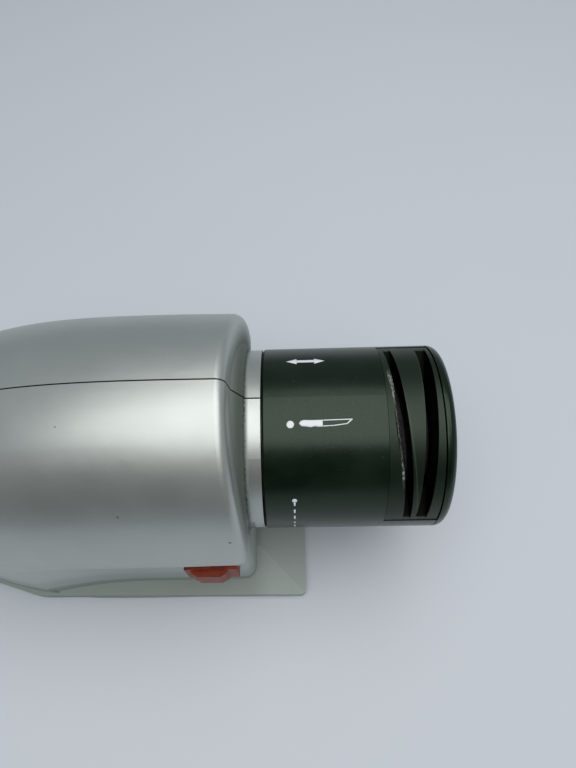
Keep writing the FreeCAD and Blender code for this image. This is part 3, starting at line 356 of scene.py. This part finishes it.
def guide_plastic():
    """The insert's black plastic: painted shade in the slots, painted highlights along the slots' edges, and
    a ridge that blades have scraped.
    """
    finish = Finish("guide_plastic", INSERT_BLACK, 0.38)
    finish.put("Specular Tint", HEAD_TINT)
    turn = finish.around()
    reach = finish.reach()
    start = INSERT_START / MM
    surface = HEAD_RADIUS / MM - 0.3
    tone = finish.mix(finish.step(finish.noise(0.06, 3.0), 0.4, 0.7), INSERT_BLACK, INSERT_PALE)
    # Painted shade in the slots, below the head's surface
    outside = finish.step(reach, surface - 0.7, surface - 0.25)
    tone = finish.mix(outside, SLOT_SHADE, tone)

    def leaning(lean):
        return finish.minus(finish.x, finish.times(turn, lean))

    # Painted highlights along the slots' edges
    rim_highlights = finish.most(finish.band(leaning(LEFT_LEAN), start + 5.2, 0.10, 0.16),
                       finish.band(leaning(RIGHT_LEAN), start + 11.0, 0.08, 0.14))
    tone = finish.mix(finish.times(finish.times(rim_highlights, outside), 0.6), tone, RIM_HIGHLIGHT)
    ridge = finish.times(finish.band(leaning(RIDGE_LEAN), start + 2.2, 0.35, 0.4),
                         finish.band(turn, 18.0, 30.0, 8.0))
    tone = finish.mix(finish.times(ridge, 0.5), tone, RIDGE_WORN)
    hairs = finish.step(finish.noise(1.7, 5.0, 0.75, (2.0, 0.6, 0.6)), 0.50, 0.57)
    scrape = finish.times(ridge, hairs)
    finish.put("Base Color", finish.mix(finish.times(scrape, 0.9), tone, SCRAPE))
    rough = finish.spread(finish.noise(0.2, 3.0), 0.36, 0.5)
    finish.put("Roughness", finish.plus(rough, finish.times(scrape, 0.2)))
    finish.put("Specular IOR Level", finish.spread(outside, 0.06, 0.4))
    finish.bump((finish.noise(3.0, 2.0), 0.006), (scrape, 0.02))
    return finish.material


def printed_white():
    """White pad-printed ink, thin and slightly broken."""
    finish = Finish("printed_white", (0.8, 0.82, 0.86), 0.45)
    worn = finish.step(finish.noise(1.6, 4.0, 0.7), 0.64, 0.76)
    finish.put("Base Color", finish.mix(worn, (0.82, 0.84, 0.88), (0.42, 0.45, 0.42)))
    finish.bump((finish.noise(4.0, 2.0), 0.004))
    return finish.material


# Screw heads: the two directions across each head, and its middle along them in millimetres
SCREW_HEADS = [("y", -8.2, "z", 32.5), ("y", 22.5, "z", 46.8),
               ("x", 39.0, "y", 18.0), ("x", 39.0, "y", -18.0),
               ("x", -60.0, "y", 29.0), ("x", -60.0, "y", -29.0),
               ("x", -74.0, "z", 62.0), ("x", -74.0, "z", 20.0),
               ("x", 27.0, "z", 18.0), ("x", -10.0, "z", 18.0)]
# The arms of the cross recess, in millimetres
ARM_HALF_WIDTH = 0.42
ARM_REACH = 1.7
ARM_SOFT = 0.08
RECESS_DEPTH = 0.2
# Painted shade inside the cross recesses
RECESS_SHADE = (0.02, 0.02, 0.02)


def cross_recess(finish):
    """Where the cross recess of a screw head is: 1 inside it, 0 elsewhere."""
    recess = 0.0
    for first, low, second, high in SCREW_HEADS:
        across = finish.absolute(finish.minus(getattr(finish, first), low))
        along = finish.absolute(finish.minus(getattr(finish, second), high))
        thin = finish.step(finish.math("MINIMUM", across, along), ARM_HALF_WIDTH, ARM_HALF_WIDTH - ARM_SOFT)
        short = finish.step(finish.most(across, along), ARM_REACH, ARM_REACH - ARM_SOFT)
        recess = finish.most(recess, finish.times(thin, short))
    return recess


def metal(name, color, roughness, brushed=(1.0, 1.0, 1.0), grain=2.0, screws=False):
    """Bare metal with drawn or turned grain."""
    finish = Finish(name, color, roughness, 1.0)
    lines = finish.noise(grain, 3.0, 0.6, brushed)
    darker = tuple(part * 0.72 for part in color)
    tone = finish.mix(finish.step(lines, 0.3, 0.75), darker, color)
    layers = [(lines, 0.004)]
    if screws:
        # Painted shade in the screws' cross recesses
        recess = cross_recess(finish)
        tone = finish.mix(recess, tone, RECESS_SHADE)
        finish.put("Metallic", finish.spread(recess, 1.0, 0.0))
        layers.append((finish.minus(1.0, recess), RECESS_DEPTH))
    finish.put("Base Color", tone)
    finish.put("Roughness", finish.spread(lines, roughness - 0.06, roughness + 0.12))
    finish.bump(*layers)
    return finish.material


def laminations():
    """Stacked steel sheet, half a millimetre a sheet, dark with varnish."""
    finish = Finish("lamination", (0.2, 0.2, 0.21), 0.45, 0.85)
    saw = finish.math("FRACT", finish.times(finish.x, 2.0))
    gap = finish.step(finish.absolute(finish.minus(saw, 0.5)), 0.38, 0.47)
    stain = finish.noise(0.3, 4.0, 0.6)
    tone = finish.mix(finish.step(stain, 0.4, 0.7), (0.26, 0.26, 0.27), (0.16, 0.12, 0.09))
    finish.put("Base Color", finish.mix(gap, tone, (0.03, 0.03, 0.03)))
    finish.bump((gap, 0.05))
    return finish.material


def windings():
    """Enamelled copper wire under varnish."""
    finish = Finish("enamel_copper", (0.5, 0.2, 0.08), 0.3, 0.75)
    turns = finish.noise(0.9, 4.0, 0.7, (0.2, 1.6, 1.6))
    tone = finish.mix(finish.step(turns, 0.35, 0.65), (0.26, 0.085, 0.03), (0.62, 0.27, 0.11))
    finish.put("Base Color", tone)
    finish.bump((turns, 0.12))
    return finish.material


def abrasive():
    """Bonded grit."""
    finish = Finish("abrasive", (0.4, 0.33, 0.29), 0.9)
    grit = finish.cells(2.6)
    cloud = finish.noise(1.2, 4.0, 0.7)
    tone = finish.mix(finish.step(grit, 0.2, 0.7), (0.10, 0.10, 0.095), (0.025, 0.025, 0.025))
    finish.put("Base Color", finish.mix(finish.step(cloud, 0.45, 0.65), tone, (0.05, 0.05, 0.05)))
    finish.bump((grit, 0.12), (cloud, 0.05))
    return finish.material


def rubber():
    """Matt black rubber with a chalky bloom."""
    finish = Finish("rubber", (0.03, 0.03, 0.03), 0.72)
    bloom = finish.noise(0.4, 4.0, 0.65)
    tone = finish.mix(finish.step(bloom, 0.45, 0.75), (0.022, 0.022, 0.023), (0.07, 0.07, 0.07))
    finish.put("Base Color", tone)
    finish.bump((finish.noise(2.5, 3.0), 0.02))
    return finish.material


def red_plastic(name, color, deep, roughness, highlight_rim=None):
    """Moulded red plastic with darker clouds, and with a painted highlight along the lower edge of the node
    that its last argument names.
    """
    finish = Finish(name, color, roughness)
    finish.put("Specular IOR Level", 0.35)
    cloud = finish.noise(0.35, 3.0, 0.6)
    streak = finish.noise(0.8, 3.0, 0.6, (0.35, 2.0, 2.0))
    tone = finish.mix(finish.step(cloud, 0.4, 0.65), color, deep)
    tone = finish.mix(finish.times(finish.step(streak, 0.6, 0.75), 0.3), tone, (0.62, 0.13, 0.03))
    if highlight_rim:
        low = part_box(highlight_rim)[0].z / MM
        # Painted highlight: paler lines along the cover's lower edge
        edge = finish.most(finish.step(finish.z, low + 0.75, low + 0.45),
                           finish.band(finish.z, low + 2.0, 0.12, 0.2))
        tone = finish.mix(finish.times(edge, 0.6), tone, (0.48, 0.15, 0.05))
    finish.put("Base Color", tone)
    finish.put("Roughness", finish.spread(streak, roughness - 0.06, roughness + 0.14))
    finish.bump((cloud, 0.02))
    return finish.material


def card_black():
    """Matt black card."""
    finish = Finish("card_black", (0.002, 0.002, 0.002), 0.9)
    finish.put("Specular IOR Level", 0.05)
    finish.bump((finish.noise(0.3, 2.0), 0.02))
    return finish.material


def floor_paper():
    """Plain pale paper."""
    finish = Finish("floor_paper", (0.62, 0.655, 0.70), 0.7)
    cloud = finish.noise(0.004, 3.0, 0.5)
    finish.put("Base Color", finish.mix(cloud, (0.60, 0.64, 0.70), (0.645, 0.675, 0.715)))
    finish.bump((finish.noise(1.5, 3.0), 0.02))
    return finish.material


MATERIALS = {
    "silver_paint": silver_paint(),
    "black_head": black_plastic("black_head", (0.003, 0.0075, 0.0035), 2.6, 0.27, scuffs=0.4, gloss=0.4,
                                tint=HEAD_TINT),
    "black_base": black_plastic("black_base", (0.02, 0.02, 0.021), 1.6, 0.55),
    "switch_black": black_plastic("switch_black", (0.02, 0.02, 0.02), 2.0, 0.5),
    "fan_plastic": black_plastic("fan_plastic", (0.09, 0.1, 0.11), 1.8, 0.55),
    "carbon": black_plastic("carbon", (0.03, 0.03, 0.033), 3.0, 0.6),
    "rubber": rubber(),
    "screw_steel": metal("screw_steel", (0.50, 0.50, 0.51), 0.38, screws=True),
    "bearing_steel": metal("bearing_steel", (0.66, 0.66, 0.68), 0.2, (4.0, 0.4, 0.4)),
    "bronze": metal("bronze", (0.50, 0.34, 0.17), 0.42),
    "aluminium": metal("aluminium", (0.62, 0.63, 0.65), 0.42, (3.0, 0.5, 0.5)),
    "brass": metal("brass", (0.72, 0.53, 0.22), 0.3),
    "lamination": laminations(),
    "enamel_copper": windings(),
    "abrasive": abrasive(),
    "switch_red": red_plastic("switch_red", (0.36, 0.03, 0.012), (0.24, 0.016, 0.006), 0.3),
    "cover_red": red_plastic("cover_red", (0.25, 0.030, 0.006), (0.17, 0.016, 0.003), 0.42,
                             highlight_rim="switch_cover"),
    "card_black": card_black(),
    "capacitor_film": black_plastic("capacitor_film", (0.55, 0.42, 0.05), 1.5, 0.35),
    "guide_plastic": guide_plastic(),
    "printed_white": printed_white(),
}

slot_of = {part["node"]: part["material_slot"] for part in frame["record"]["subparts"]}
for name, node in nodes.items():
    node.data.materials.clear()
    node.data.materials.append(MATERIALS["guide_plastic" if name == "guide_insert" else slot_of[name]])


# ---------------------------------------------------------------- printed marks on the head

INK_LIFT = 0.02 * MM
INK_THICKNESS = 0.03 * MM
# Longest edge of the ink's flat mesh in millimetres, so that it follows the round head
INK_STEP = 0.5
MOST_EDGES, MOST_FACES = 4000, 6000


# How far the head narrows at the housing, and how much of that is gone at the insert
HEAD_DRAFT = 0.3 * MM
DRAFT_LOSS = 0.79


def head_draft(x):
    """How far the head's surface lies inside its full radius at x."""
    share = (x - HEAD_START) / (INSERT_START - HEAD_START)
    return HEAD_DRAFT * max(0.0, 1 - share * DRAFT_LOSS)


def divide(work):
    """Cut a flat mesh into small triangles."""
    bmesh.ops.triangulate(work, faces=work.faces[:])
    long_edges = [edge for edge in work.edges if edge.calc_length() > INK_STEP]
    while long_edges:
        bmesh.ops.subdivide_edges(work, edges=long_edges, cuts=1)
        bmesh.ops.triangulate(work, faces=work.faces[:])
        long_edges = [edge for edge in work.edges if edge.calc_length() > INK_STEP * 1.5][:MOST_EDGES]
        if len(work.faces) > MOST_FACES:
            break


def wrap(work):
    """Bend a flat mesh round the head, its faces outwards."""
    for vert in work.verts:
        turn = vert.co.y * MM / HEAD_RADIUS
        radius = HEAD_RADIUS + INK_LIFT - head_draft(vert.co.x * MM)
        vert.co = (vert.co.x * MM, -radius * math.sin(turn), SPINDLE + radius * math.cos(turn))
    bmesh.ops.recalc_face_normals(work, faces=work.faces[:])
    outward = 0.0
    for face in work.faces:
        middle = face.calc_center_median()
        outward += face.normal.dot(middle - Vector((middle.x, 0, SPINDLE)))
    if outward < 0:
        bmesh.ops.reverse_faces(work, faces=work.faces[:])


def ink_mark(name, outlines):
    """Outlines, (mm along the spindle, degrees forward of the top), wrapped onto the head as thin ink."""
    mesh = bpy.data.meshes.new(name)
    work = bmesh.new()
    for outline in outlines:
        flat = [work.verts.new((x, math.radians(turn) * HEAD_RADIUS / MM, 0)) for x, turn in outline]
        work.faces.new(flat)
    divide(work)
    wrap(work)
    work.to_mesh(mesh)
    work.free()
    piece = add_object(name, mesh)
    thick = piece.modifiers.new("film", "SOLIDIFY")
    thick.thickness = INK_THICKNESS
    thick.offset = -1
    mesh.materials.append(MATERIALS["printed_white"])
    for face in mesh.polygons:
        face.use_smooth = True
    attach(piece, "guide_head")


def disc(x, turn, radius):
    """A round dot's outline."""
    angles = [math.radians(angle) for angle in range(0, 360, 20)]
    return [(x + radius * math.cos(angle), turn + radius * math.sin(angle) * DEG_PER_MM) for angle in angles]


def bar(x0, x1, turn, half):
    """A straight stroke along the spindle."""
    lean = half * DEG_PER_MM
    return [(x0, turn - lean), (x1, turn - lean), (x1, turn + lean), (x0, turn + lean)]


# Where the marks start along the spindle, and their turns in degrees forward of the top
MARK_X = HEAD_START / MM + 7.8
ARROW_TURN, KNIFE_TURN, DASH_TURN = -28.4, 16.2, 62.4
ARROW_LENGTH, ARROW_HEAD, ARROW_HALF = 12.0, 3.3, 1.5
SHAFT_INSET, SHAFT_HALF = 3.0, 0.66
BLADE_LINE = 0.27
# The dashes' first and last turns in degrees, and half their width in millimetres
DASHES = [(64.0, 66.7), (70.1, 73.6), (76.8, 80.5), (84.6, 87.2), (90.7, 94.7)]
DASH_HALF = 0.26


def arrow_mark():
    """The double arrow at which the head pulls off."""
    left = MARK_X - 0.4
    right = left + ARROW_LENGTH
    outlines = [bar(left + SHAFT_INSET, right - SHAFT_INSET, ARROW_TURN, SHAFT_HALF)]
    for tip, back in ((left, left + ARROW_HEAD), (right, right - ARROW_HEAD)):
        outlines.append([(tip, ARROW_TURN), (back, ARROW_TURN + ARROW_HALF * DEG_PER_MM),
                         (back, ARROW_TURN - ARROW_HALF * DEG_PER_MM)])
    ink_mark("mark_release_arrow", outlines)


def knife_mark():
    """A dot, then a knife: a filled handle and an outlined blade."""
    ink_mark("mark_knife_dot", [disc(MARK_X + 0.5, KNIFE_TURN, 1.1)])

    def at(x, off):
        """A place x and off millimetres along and around the head from the knife's tail."""
        return (MARK_X + x, KNIFE_TURN - 0.4 + off * DEG_PER_MM)

    handle = [at(3.0, 0.0), at(3.4, -0.7), at(4.4, -1.05), at(6.5, -0.95), at(9.9, -1.0), at(9.9, 1.0),
              at(8.6, 1.05), at(7.6, 0.85), at(6.4, 1.15), at(5.2, 0.9), at(3.7, 0.75)]
    back = [at(9.9, -1.0), at(18.4, -1.15), at(18.4, -1.15 + BLADE_LINE), at(9.9, -1.0 + BLADE_LINE)]
    tip = [at(18.4, -1.15), at(18.6, -0.9), at(17.0, 0.4), at(16.8, 0.15), at(18.0, -0.9)]
    edge = [at(17.0, 0.4), at(16.8, 0.15), at(13.0, 0.6), at(9.9, 0.72), at(9.9, 0.98), at(13.2, 0.85)]
    ink_mark("mark_knife", [handle, back, tip, edge])


def dash_mark():
    """A small dot with a dashed line running down the front."""
    x = MARK_X + 1.35
    low, high = x - DASH_HALF, x + DASH_HALF
    ink_mark("mark_dashes", [[(low, start), (high, start), (high, end), (low, end)] for start, end in DASHES])
    ink_mark("mark_dash_dot", [disc(x, DASH_TURN, 0.75)])


arrow_mark()
knife_mark()
dash_mark()


# ---------------------------------------------------------------- stage, light and camera

FLOOR_SIZE = (6.0, 6.0)
CARD_SIZE = (2.0, 0.72)


def flat_sheet(name, size, material):
    """A flat rectangle about its own origin."""
    half_width, half_height = size[0] / 2, size[1] / 2
    mesh = bpy.data.meshes.new(name)
    corners = [(-half_width, -half_height, 0), (half_width, -half_height, 0),
               (half_width, half_height, 0), (-half_width, half_height, 0)]
    mesh.from_pydata(corners, [], [(0, 1, 2, 3)])
    mesh.materials.append(material)
    return add_object(name, mesh)


def stage():
    """A plain pale floor under the feet."""
    floor = flat_sheet("floor", FLOOR_SIZE, floor_paper())


def area_light(name, place, target, size, power, color):
    """A soft panel aimed at a point."""
    data = bpy.data.lights.new(name, "AREA")
    data.shape = "RECTANGLE"
    data.size, data.size_y = size
    data.energy = power
    data.color = color
    aim(add_object(name, data), place, target)


def dark_card(name, place, target, size):
    """An unlit card that the glossy front flank mirrors; the camera doesn't see it."""
    card = flat_sheet(name, size, MATERIALS["card_black"])
    aim(card, place, target)
    card.visible_camera = False
    card.visible_diffuse = False
    card.visible_shadow = False


def lights():
    """A dim cool room, one large panel overhead, and a dark side in front."""
    world = bpy.data.worlds.new("soft_room")
    world.use_nodes = True
    background = world.node_tree.nodes["Background"]
    background.inputs["Color"].default_value = (0.82, 0.91, 1.0, 1.0)
    background.inputs["Strength"].default_value = 0.27
    bpy.context.scene.world = world
    area_light("overhead", (0.16, -0.05, 0.92), (0.08, 0, 0.05), (1.15, 0.95), 7.6, (1.0, 0.99, 0.96))
    dark_card("front_card", (0.0, -0.6, 0.36), (0, 0, 0.06), CARD_SIZE)
    bpy.context.scene.view_settings.view_transform = "Standard"
    bpy.context.scene.view_settings.exposure = 0.0


# The viewing angles, the focal length in millimetres, and the camera's place in metres
ELEVATION = math.radians(61.66)
AZIMUTH = math.radians(-0.07)
ROLL = math.radians(-1.1)
FOCAL = 27.02
SENSOR_WIDTH = 36.0
CAMERA_PLACE = (HEAD_START + 7.8 * MM, -76.9 * MM, SPINDLE + 180.4 * MM)


def camera():
    """The viewing angle: from above and in front, close to the object."""
    back = Vector((math.sin(AZIMUTH) * math.cos(ELEVATION), -math.cos(AZIMUTH) * math.cos(ELEVATION),
                   math.sin(ELEVATION)))
    level = Vector((math.cos(AZIMUTH), math.sin(AZIMUTH), 0))
    upright = back.cross(level)
    right = math.cos(ROLL) * level + math.sin(ROLL) * upright
    up = math.cos(ROLL) * upright - math.sin(ROLL) * level
    data = bpy.data.cameras.new("camera")
    data.lens = FOCAL
    data.sensor_width = SENSOR_WIDTH
    data.sensor_fit = "AUTO"
    data.clip_start = 0.005
    view = add_object("camera", data)
    turn = Matrix((right, up, back)).transposed().to_4x4()
    view.matrix_world = Matrix.Translation(CAMERA_PLACE) @ turn
    bpy.context.scene.camera = view


stage()
lights()
camera()
